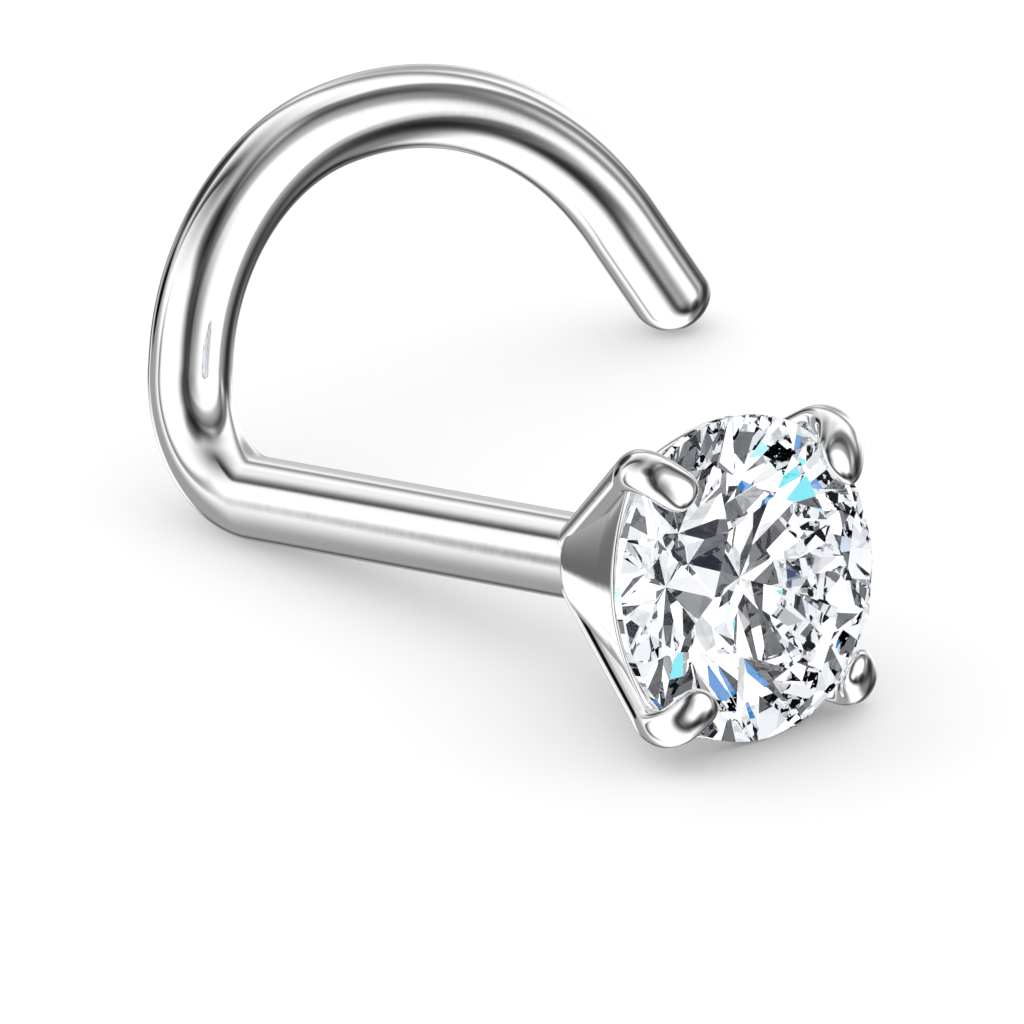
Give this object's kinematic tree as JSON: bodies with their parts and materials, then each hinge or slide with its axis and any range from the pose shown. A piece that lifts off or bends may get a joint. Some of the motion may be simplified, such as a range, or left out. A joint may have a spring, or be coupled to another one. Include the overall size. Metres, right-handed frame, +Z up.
{
  "type": "nose stud",
  "caption": "Nostril screw nose stud: a straight wire post that bends square into an open curl, with a claw setting and a round brilliant clear stone.",
  "frame": {"origin": "middle of the underside of the bounding box of the stud as it lies by itself on a flat surface, on the tip of the curl, the underside of the bend and the lowest claw", "axes": "+Z up; +X along the post's level direction, from the bend towards the stone; the curl reaches towards +Y and ends on the surface"},
  "size_m": [0.0094, 0.0082, 0.0035],
  "materials": {
    "polished_steel": "mirror polished surgical steel",
    "clear_stone": "clear, facets polished flat, colourless with slight fire"
  },
  "bodies": {
    "root": {"screw_post_with_setting": "polished_steel", "stone": "clear_stone"}
  },
  "joints": []
}
